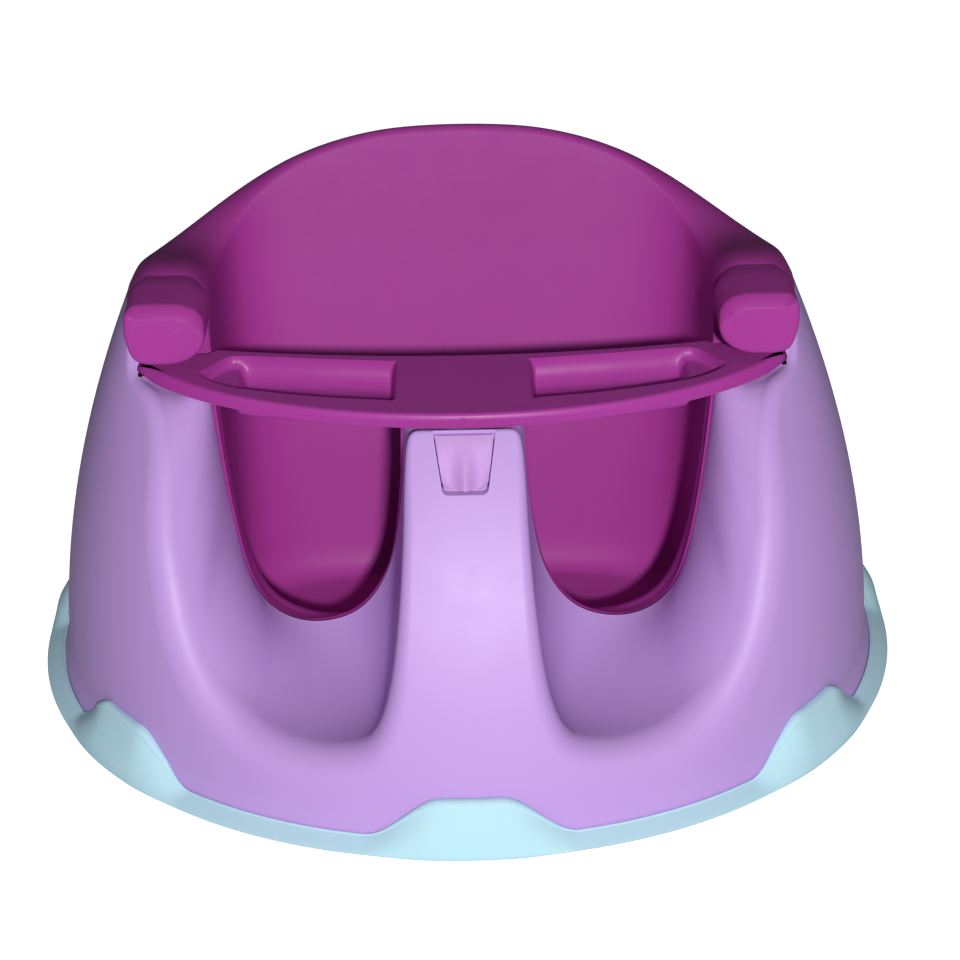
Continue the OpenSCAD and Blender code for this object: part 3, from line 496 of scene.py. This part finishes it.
seatSide = bothSides(linerColumns())
wallDepth = np.full(seatSide.shape[1], float(body["linerWall"]))
wallDepth[:3] *= body["skirtShare"]   # thin at the skirt
hidden = seatSide - wallDepth[None, :, None] * gridNormals(seatSide)
first, last = 2, len(crownAngles) + 1   # the rows of the rim
halfWay = len(edge)
hiddenHeight = np.maximum(edge[:, 10] - body["linerWall"], 0)
hidden[:, first:last + 1] = bothSides(crownRows(hidden[:halfWay, first], hidden[:halfWay, last],
                                                hiddenHeight, crownAngles))
bowl = np.concatenate([seatSide[:, ::-1], hidden], 1)
bowlColumns, bowlRows = bowl.shape[:2]
bowlPoints = np.vstack([bowl.reshape(-1, 3), panMiddle, panMiddle - [0, 0, body["linerWall"]]])
bowlFaces = gridFaces(bowlColumns, bowlRows)
pole = bowlColumns * bowlRows
ringOf = np.arange(bowlColumns) * bowlRows
bowlFaces += fan(pole, ringOf, True) + fan(pole + 1, ringOf + bowlRows - 1)

nose = dict(x=125.4, z=180.7, front=-60, halfWidth=16.9, halfHeight=13, bevel=4.8, rounding=1.7, taper=0.16,
            length=56, sinkStart=25, sinkX=7, sinkZ=3.2, around=144,
            corners=dict(upperOuter=5.5, upperInner=2.65, lowerInner=2.05, lowerOuter=5))


def nosePoints(side):
    # superellipse sections along Y with a different exponent in each quarter: tight corners outside, wide
    # ones inside; the front has a flat bevel over the top that fades to a small rounding below, and the
    # rear end sinks into the arm
    a = np.linspace(0, 2 * math.pi, nose["around"], endpoint=False)
    right, up = np.sin(a) > 0, np.cos(a) > 0
    c = nose["corners"]
    power = 2 / np.where(right, np.where(up, c["upperOuter"], c["lowerOuter"]),
                         np.where(up, c["upperInner"], c["lowerInner"]))
    sx, sz = signedPower(np.sin(a), power), signedPower(np.cos(a), power)
    sx = np.where(right, sx * (1 - nose["taper"] * np.maximum(-sz, 0)), sx)
    turned = (np.degrees(a) + 180) % 360 - 180
    flat = smoothStep((turned + 96) / 30) * smoothStep((62 - turned) / 34)
    cut = (nose["rounding"] + (nose["bevel"] - nose["rounding"]) * flat)[None, :]
    t = np.linspace(0, 1, 13)[:, None]
    arcY, arcIn = 1 - np.cos(t * math.pi / 2), 1 - np.sin(t * math.pi / 2)
    straight = 0.7 * flat[None, :]
    y = cut * (straight * t + (1 - straight) * arcY)
    inset = cut * (straight * (1 - t) + (1 - straight) * arcIn)
    along = np.linspace(0, 1, 27)[1:, None]
    y = np.concatenate([y, y[-1:] + (nose["length"] - y[-1:]) * along])
    sink = smoothStep((y - nose["sinkStart"]) / (nose["length"] - nose["sinkStart"]))
    inset = np.concatenate([inset, 0 * inset[-1:] + 0 * along])
    wide = nose["halfWidth"] - inset - nose["sinkX"] * sink
    high = nose["halfHeight"] - inset - nose["sinkZ"] * sink
    face = np.array([0.25, 0.5, 0.75, 0.95])[:, None]
    wide = np.concatenate([face * wide[:1], wide])
    high = np.concatenate([face * high[:1], high])
    y = np.concatenate([face * 0 + y[:1], y])
    return np.stack([side * (nose["x"] + wide * sx), nose["front"] + y, nose["z"] + high * sz], -1)


linerPoints, linerFaces = [bowlPoints], list(bowlFaces)
count = len(bowlPoints)
for side in (-1, 1):
    grid = nosePoints(side)
    steps, around = grid.shape[:2]
    linerPoints += [grid.reshape(-1, 3), grid[0].mean(0)[None], grid[-1].mean(0)[None]]
    linerFaces += gridFaces(steps, around, closedColumns=False, closedRows=True, start=count, turned=side > 0)
    ringFront = count + np.arange(around)
    ringBack = ringFront + (steps - 1) * around
    pole = count + steps * around
    linerFaces += fan(pole, ringFront, side > 0) + fan(pole + 1, ringBack, side < 0)
    count += steps * around + 2
seatLiner = makePiece("seatLinerSkin", np.vstack(linerPoints), linerFaces, finish["liner"], "seat",
                      50)
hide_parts("seat_liner")
print("seat liner:", len(seatLiner.data.vertices), "points")

# soft foot ring

ring = dict(stand=8.9, lobeStand=10, band=5.3, lean=5.6, topRound=2.3, under=-2.4, around=840,
            places=[0, 53.5, 102, 154.3, 205.7, 258, 306.5], heights=[24.3, 26, 25, 25, 25, 25, 26],
            flats=[4.1, 3.5, 4, 4, 4, 4, 3.5], feet=[14.6, 13.2, 13, 13.4, 13.4, 13, 13.2])


def ringPoints():
    # low slanted band carried round the dome; near each lobe its profile blends to a tall one, steep and
    # rounded at the top
    a = np.linspace(0, 360, ring["around"], endpoint=False)
    places, heights, flats, feet = [np.array(ring[k])[:, None]
                                    for k in ("places", "heights", "flats", "feet")]
    away = np.abs((a[None] - places + 180) % 360 - 180)
    rises = smoothStep((feet - away) / (feet - flats))
    rise = rises.max(0)
    tall = (rises * heights).sum(0) / np.maximum(rises.sum(0), 1e-6) + 24 * (rises.sum(0) < 1e-6)
    stand = ring["stand"] + (ring["lobeStand"] - ring["stand"]) * rise
    level = 0 * a
    rows = [(level, ring["under"] + level), (level, stand - 1.5), (level + 0.25, stand - 0.6),
            (level + 1.0, stand - 0.1)]
    r, lean = ring["topRound"], ring["lean"]
    for s in np.linspace(0.08, 1, 14):
        low = (1.0 + (ring["band"] - 1.4) * s, stand - 0.1 + (1.3 - stand) * s ** 1.15)
        high = (1.0 + (tall - 1.0 - r) * s, stand - 0.1 - lean * s ** 1.7)
        rows.append([p + (q - p) * rise for p, q in zip(low, high)])
    for t in np.radians(np.linspace(0, 90, 9))[1:]:
        low = (ring["band"] - 0.4 + 0.4 * np.sin(t), 1.2 - 0.5 * (1 - np.cos(t)))
        high = (tall - r + r * np.sin(t), stand - 0.1 - lean - r * (1 - np.cos(t)))
        rows.append([p + (q - p) * rise for p, q in zip(low, high)])
    top = ring["band"] + (tall - ring["band"]) * rise
    tuck = body["shellFoot"] - 0.3 + level
    rows += [(top - 0.05, 0.6 + 0.8 * rise), (top - 0.3, 0.25 + level), (tuck, 0.25 + level),
             (tuck, ring["under"] + level)]
    return np.stack([domePoint(a, z, off) for z, off in rows], 1)


ringGrid = ringPoints()
footRing = makePiece("footRingSkin", ringGrid, gridFaces(*ringGrid.shape[:2], closedRows=True),
                     finish["ring"], "seat", 60)
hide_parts("foot_ring")
print("foot ring:", len(footRing.data.vertices), "points")

# tray

tray = dict(topZ=164, edge=5.2, lean=3.0, frontRounding=1.0, rearIn=0.3, rearRounding=0.8, half=139,
            rear=-46, rearSweep=11.5, wall=1.7, wellInner=28, wellStep=92, wellOuter=112, wellDepth=11.5,
            wellShallow=5, fillet=1.7, frontRun=4, innerRun=3.2, stepRun=5, rearRun=9, shallowRun=4,
            armInner=105.8)
trayEnd = np.array([[105.8, -35.74], [109.8, -39.5], [127, -39.5], [131.5, -40.1], [135.4, -41.3],
                    [137.6, -43], [139, -45.5]])
wellFrontLine = np.array([[0, -90.2], [28, -90], [54, -86.3], [73, -82], [90, -77], [100, -72.6], [108, -66.4],
                          [112, -61], [139, -57]])
wellRearLine = np.array([[0, -53], [27, -52], [64, -47.7], [92, -43.6], [101, -43.6], [107, -52], [112, -60.6],
                         [139, -56.8]])


def trayFront(x):
    # the dome's front at the height of the tray's top
    return frontAt(x, tray["topZ"])


def trayRear(x):
    # shallow arc between the arms, drawn forward in front of them and rounded at the end
    ax = np.abs(x)
    arc = tray["rear"] + tray["rearSweep"] * (ax / tray["wellOuter"]) ** 2
    return np.where(ax < tray["armInner"], arc, np.interp(ax, trayEnd[:, 0], trayEnd[:, 1]))


def softLine(x, line):
    # the line's y at x, its corners rounded by a running mean over a few millimetres
    ax = np.abs(x)[:, None] + np.linspace(-3, 3, 13)[None, :]
    return np.interp(ax, line[:, 0], line[:, 1]).mean(1)


def wellFront(x):
    # front rim of the wells: nearly straight in the middle, running back to the outer point
    return softLine(x, wellFrontLine)


def wellRear(x):
    # rear rim of the wells: sweeps back towards the arms, then forward to the same point
    return softLine(x, wellRearLine)


def wellDepthAt(x, grow):
    # full depth between the inner end and the step, shallow from the step to the point
    ax = np.abs(x)
    into = smoothStep((ax - tray["wellInner"] + grow) / tray["innerRun"])
    step = smoothStep((ax - tray["wellStep"] - grow) / tray["stepRun"])
    tip = smoothStep((tray["wellOuter"] + grow - ax) / 4)
    return into * ((tray["wellDepth"] - tray["wellShallow"]) * (1 - step) + tray["wellShallow"] * tip)


def trayLines():
    # x lines, closer together at the ends and at the ends and steps of the wells
    run = np.concatenate([np.linspace(0, 24, 12), np.linspace(25, 33, 30), np.linspace(35, 88, 28),
                          np.linspace(89, 100, 34), np.linspace(100.5, 115, 40), np.linspace(116, 133, 14),
                          tray["half"] - np.array([4.5, 3.4, 2.6, 1.9, 1.3, 0.8, 0.4, 0.15, 0])])
    run = np.unique(np.round(run, 4))
    return np.concatenate([-run[:0:-1], run])


def trayFace(x, grow, drop):
    # height field over x and a share across the tray; its lines follow the rims of the wells
    front, rear = trayFront(x), trayRear(x)
    near = np.array([0, 0.15, 0.45, 0.9, 1.5, 2.2, 3.0])
    slope = np.gradient(front, x)
    stretch = np.minimum(np.sqrt(1 + slope ** 2), 2.4)
    room = np.maximum(rear - front, 0.2)
    squeeze = np.minimum(1, room / 16)
    wf = np.clip(wellFront(x) - grow, front + 3.6 * stretch * squeeze, None)
    wr = np.minimum(wellRear(x) + grow, rear - 3.4 * squeeze)
    middle = (wf + wr) / 2
    wf2, wr2 = np.where(wr - wf < 0.6, middle - 0.3, wf), np.where(wr - wf < 0.6, middle + 0.3, wr)
    deepShare = smoothStep((tray["wellStep"] + tray["stepRun"] - np.abs(x)) / tray["stepRun"])
    rearRun = tray["shallowRun"] + (tray["rearRun"] - tray["shallowRun"]) * deepShare
    fit = np.minimum(1, (wr2 - wf2 - 0.2) / (tray["frontRun"] + rearRun))
    frontRun, rearRun = tray["frontRun"] * fit, rearRun * fit
    clear = 9   # stands for any distance past the rounded rim
    inner, outer = front + near[-1] * stretch * squeeze, rear - near[-1] * squeeze
    floorRun = wr2 - wf2 - frontRun - rearRun
    # each row: its y line, its share of the well's depth, its distance from the rim
    rows = [(front + d * stretch * squeeze, 0, d) for d in near]
    rows += [(inner + (wf2 - inner) * s, 0, clear) for s in (0.25, 0.5, 0.75)]
    rows += [(wf2 + frontRun * s, smoothStep(s), clear) for s in np.linspace(0, 1, 11)]
    rows += [(wf2 + frontRun + floorRun * s, 1, clear) for s in np.linspace(0, 1, 9)[1:-1]]
    rows += [(wr2 - rearRun * s, math.sqrt(1 - (1 - s) ** 2), clear)
             for s in 1 - np.sin(np.linspace(0, math.pi / 2, 17))]
    rows += [(wr2 + (outer - wr2) * s, 0, clear) for s in (0.35, 0.7)]
    rows += [(rear - d * squeeze, 0, d) for d in near[::-1]]
    y = np.stack([line for line, s, d in rows], 1)
    share, inset = [np.array(part, float)[None] + 0 * y for part in list(zip(*rows))[1:]]
    inset = np.minimum(inset, (tray["half"] - np.abs(x))[:, None])
    r = tray["fillet"]
    fall = np.where(inset < r, r - np.sqrt(np.maximum(r * r - (r - inset) ** 2, 0)), 0)
    z = tray["topZ"] - wellDepthAt(x, grow)[:, None] * share - fall * (1 if drop == 0 else 0)
    if drop:
        lipFace = tray["topZ"] - tray["edge"] + 0 * z
        roof = z - drop
        z = lipFace + (roof - lipFace) * smoothStep((inset - 2.2) / 0.8)
    return np.stack([x[:, None] + 0 * y, y, z], -1)


def drawnIn(rows, low, amount, rounding):
    # side of the tray below its top line: drawn in by amount, or leaning out where that is negative, and
    # rounded at the lower edge
    centre = np.array([0, -70.0, 0])
    outward = unit((rows[:, None] - centre) * [1, 1, 0])
    top = rows[:, 2][:, None]
    amount = amount * np.clip((tray["half"] - np.abs(rows[:, :1])) / 14, 0, 1) if amount < 0 else amount
    down = np.array([[0.35, 0.7, 1.0, 1.0, 1.0]])
    below = np.array([[0, 0, 0, rounding * 0.7, rounding]])
    z = top + (low + rounding - top) * down - below
    pull = down * amount + np.array([[0, 0, 0, rounding * 0.3, rounding]]) + 0 * top
    side = rows[:, None] - outward * pull[..., None]
    side[:, :, 2] = z
    return side


xLines = trayLines()
trayTop = trayFace(xLines, 0, 0)
trayUnder = trayFace(xLines, tray["wall"], tray["wall"])
lowZ = tray["topZ"] - tray["edge"]
frontSide = drawnIn(trayTop[:, 0], lowZ, -tray["lean"], tray["frontRounding"])
rearSide = drawnIn(trayTop[:, -1], lowZ, tray["rearIn"], tray["rearRounding"])
under = trayUnder.copy()
under[:, 0] = frontSide[:, -1] + [0, 0.05, 0]
under[:, -1] = rearSide[:, -1] - [0, 0.05, 0]
profile = np.concatenate([trayTop[:, ::-1], frontSide, under, rearSide[:, ::-1]], 1)
trayColumns, trayRows = profile.shape[:2]
trayFaces = gridFaces(trayColumns, trayRows, closedColumns=False, closedRows=True)
trayPoints = np.vstack([profile.reshape(-1, 3), profile[0].mean(0), profile[-1].mean(0)])
pole = trayColumns * trayRows
firstRing = np.arange(trayRows)
lastRing = firstRing + (trayColumns - 1) * trayRows
trayFaces += fan(pole, firstRing) + fan(pole + 1, lastRing, True)
trayTopPiece = makePiece("trayMoulding", trayPoints, trayFaces, finish["tray"], "tray", 38)
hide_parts("tray_top")
print("tray:", len(trayTopPiece.data.vertices), "points")

# release tab

tab = dict(lowZ=138.3, highZ=157.2, lowHalf=9.1, highHalf=12.2, wall=2.4, setBack=0.35, scoop=4.2, ridge=3.6,
           corner=3.2, pivotY=-117.553, pivotZ=136, hub=3.2, hubHalf=9.2, across=61, up=49)


def tabGrid():
    # face plate: x from side to side, z up; scooped in at the lower corners, with a ridge up the middle
    u = np.sin(np.linspace(-math.pi / 2, math.pi / 2, tab["across"]))[:, None]
    v = (1 - np.cos(np.linspace(0, math.pi, tab["up"])))[None, :] / 2
    z = tab["lowZ"] + (tab["highZ"] - tab["lowZ"]) * v + 0 * u
    half = tab["lowHalf"] + (tab["highHalf"] - tab["lowHalf"]) * v
    low = 1 - np.minimum((z - tab["lowZ"]) / tab["corner"], 1)
    narrowing = tab["corner"] * (1 - np.sqrt(np.clip(1 - low ** 2, 0, 1)))
    x = u * (half - narrowing)
    ridgeMask = np.exp(-(x / tab["ridge"]) ** 2 * 1.2)
    deep = tab["scoop"] * smoothStep(1 - v * 1.02) * (1 - 0.8 * ridgeMask) * (1 - 0.3 * np.abs(u) ** 8)
    rounding = 0.4 * (np.abs(u) ** 14 + np.maximum(1 - 2 * v, 0) ** 18)
    y = frontAt(x, z) + tab["setBack"] + deep + rounding
    back = frontAt(0 * x, z) + tab["setBack"] + tab["scoop"] + tab["wall"] * 0.6 + 0 * x
    front = np.stack([x, y, z], -1)
    rear = np.stack([x * 0.985, np.maximum(back, y + 1.2), z], -1)
    return front, rear


def revolveX(radius, half, y, z, around=40):
    # a round bar along X with small chamfers, closed at both ends
    profile = np.array([[-half, 0.01], [-half, radius - 0.4], [-half + 0.4, radius], [half - 0.4, radius],
                        [half, radius - 0.4], [half, 0.01]])
    a = np.linspace(0, 2 * math.pi, around, endpoint=False)[None, :]
    return np.stack([profile[:, :1] + 0 * a, y + profile[:, 1:] * np.cos(a),
                     z + profile[:, 1:] * np.sin(a)], -1)


front, rear = tabGrid()
sheetLoop = np.concatenate([front, rear[:, ::-1]], 1)
tabPoints = [sheetLoop.reshape(-1, 3)]
tabFaces = gridFaces(*sheetLoop.shape[:2], closedColumns=False, closedRows=True)
for end, turned in ((0, True), (tab["across"] - 1, False)):
    strip = np.arange(tab["up"])
    a, b = end * sheetLoop.shape[1] + strip, end * sheetLoop.shape[1] + sheetLoop.shape[1] - 1 - strip
    quads = np.stack([a[:-1], a[1:], b[1:], b[:-1]], 1)
    tabFaces += (quads if turned else quads[:, ::-1]).tolist()
count = len(tabPoints[0])
hub = revolveX(tab["hub"], tab["hubHalf"], tab["pivotY"], tab["pivotZ"])
tabPoints.append(hub.reshape(-1, 3))
tabFaces += gridFaces(*hub.shape[:2], closedColumns=False, closedRows=True, start=count)
for k, turned in ((0, False), (hub.shape[0] - 1, True)):
    cap = (count + k * hub.shape[1] + np.arange(hub.shape[1])).tolist()
    tabFaces.append(cap[::-1] if turned else cap)
releaseTab = makePiece("releaseTabPaddle", np.vstack(tabPoints), tabFaces, finish["tab"], "release_tab",
                       40)
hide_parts("release_tab")
print("release tab:", len(releaseTab.data.vertices), "points")

# window for the tab, cut through the front of the post

window = dict(gap=0.55, corner=2.6, topZ=175, near=-150, far=-108)


def windowCutter():
    # trapezoid with rounded lower corners, carried straight back along Y
    slopeX = (tab["highHalf"] - tab["lowHalf"]) / (tab["highZ"] - tab["lowZ"])
    low = tab["lowZ"] - window["gap"]
    r = window["corner"]
    halfLow = tab["lowHalf"] + window["gap"]
    turn = np.radians(np.linspace(0, 80, 9))
    right = np.stack([halfLow - r + r * np.sin(turn), low + r - r * np.cos(turn)], 1)
    top = np.array([[halfLow + slopeX * (window["topZ"] - low), window["topZ"]]])
    right = np.vstack([right, top])
    outline = np.vstack([right, right[::-1] * [-1, 1]])
    points = np.concatenate([np.stack([outline[:, 0], np.full(len(outline), y), outline[:, 1]], 1)
                             for y in (window["near"], window["far"])])
    n = len(outline)
    faces = [[i, (i + 1) % n, n + (i + 1) % n, n + i] for i in range(n)]
    faces += [list(range(n))[::-1], list(range(n, 2 * n))]
    mesh = bpy.data.meshes.new("windowCutter")
    mesh.from_pydata((points * mm).tolist(), [], faces)
    mesh.update()
    cutter = bpy.data.objects.new("windowCutter", mesh)
    bpy.context.scene.collection.objects.link(cutter)
    return cutter


def cutAway(piece, cutter):
    # takes the cutter's space out of the piece and keeps the result as its mesh
    cut = piece.modifiers.new("window", "BOOLEAN")
    cut.operation, cut.object, cut.solver = "DIFFERENCE", cutter, "FAST"
    graph = bpy.context.evaluated_depsgraph_get()
    done = bpy.data.meshes.new_from_object(piece.evaluated_get(graph))
    piece.modifiers.clear()
    piece.data = done
    bpy.data.objects.remove(cutter)


cutAway(outerShell, windowCutter())
print("window cut:", len(outerShell.data.vertices), "points")

# floor, light and camera

studio = dict(floor=4.0, floorColour=(0.74, 0.76, 0.82), floorGlow=1.0, worldLight=0.055, worldSeen=1.2,
              keyPower=23.5, keySize=0.08, keyPlace=(0.1, -1.62, 0.84))


def areaLight(name, place, target, size, power):
    # round lamp at a place, turned to face its target
    light = bpy.data.lights.new(name, "AREA")
    light.shape, light.size, light.energy = "DISK", size, power
    lamp = bpy.data.objects.new(name, light)
    bpy.context.scene.collection.objects.link(lamp)
    lamp.location = place
    lamp.rotation_euler = (Vector(target) - Vector(place)).to_track_quat("-Z", "Y").to_euler()


def makeFloor():
    # flat square under the object, pale, with a glow that only the camera sees so that it stays near white
    h = studio["floor"]
    mesh = bpy.data.meshes.new("studioFloor")
    mesh.from_pydata([(-h, -h, 0), (h, -h, 0), (h, h, 0), (-h, h, 0)], [], [(0, 1, 2, 3)])
    floor = bpy.data.objects.new("studioFloor", mesh)
    bpy.context.scene.collection.objects.link(floor)
    material = bpy.data.materials.new("paleFloor")
    material.use_nodes = True
    shader = material.node_tree.nodes["Principled BSDF"]
    shader.inputs["Base Color"].default_value = (*studio["floorColour"], 1)
    shader.inputs["Roughness"].default_value = 0.9
    shader.inputs["Specular IOR Level"].default_value = 0.1
    shader.inputs["Emission Color"].default_value = (1, 1, 1, 1)
    seen = material.node_tree.nodes.new("ShaderNodeLightPath").outputs["Is Camera Ray"]
    material.node_tree.links.new(mathNode(material.node_tree, "MULTIPLY", seen, studio["floorGlow"]),
                                 shader.inputs["Emission Strength"])
    mesh.materials.append(material)


makeFloor()
areaLight("keyLight", studio["keyPlace"], (0, 0, 0.1), studio["keySize"], studio["keyPower"])

world = bpy.data.worlds.new("studioWorld")
bpy.context.scene.world = world
world.use_nodes = True
sky = world.node_tree
back = sky.nodes["Background"]
back.inputs["Color"].default_value = (0.86, 0.9, 1, 1)
path = sky.nodes.new("ShaderNodeLightPath")
strength = mathNode(sky, "MULTIPLY_ADD", path.outputs["Is Camera Ray"],
                    studio["worldSeen"] - studio["worldLight"])
strength.node.inputs[2].default_value = studio["worldLight"]
sky.links.new(strength, back.inputs["Strength"])

view = dict(elevation=28, azimuth=-0.5, roll=-0.9, distance=1.1, target=(0.0071, 0, 0.0781), focal=2372.8,
            frame=960)


def makeCamera():
    # the photograph's view: distance and focal length in pixels of a 960 pixel frame
    e, a, r = [math.radians(view[k]) for k in ("elevation", "azimuth", "roll")]
    backward = Vector((math.sin(a) * math.cos(e), -math.cos(a) * math.cos(e), math.sin(e)))
    rightward = Vector((math.cos(a), math.sin(a), 0))
    upward = backward.cross(rightward)
    rolledRight = math.cos(r) * rightward + math.sin(r) * upward
    rolledUp = -math.sin(r) * rightward + math.cos(r) * upward
    data = bpy.data.cameras.new("photoCamera")
    data.sensor_width = 36
    data.lens = view["focal"] * data.sensor_width / view["frame"]
    data.clip_start, data.clip_end = 0.05, 50
    camera = bpy.data.objects.new("photoCamera", data)
    bpy.context.scene.collection.objects.link(camera)
    turned = Matrix((rolledRight, rolledUp, backward)).transposed().to_4x4()
    camera.matrix_world = Matrix.Translation(Vector(view["target"]) + backward * view["distance"]) @ turned
    bpy.context.scene.camera = camera


makeCamera()
bpy.context.scene.view_settings.view_transform = "Standard"
print("studio ready")
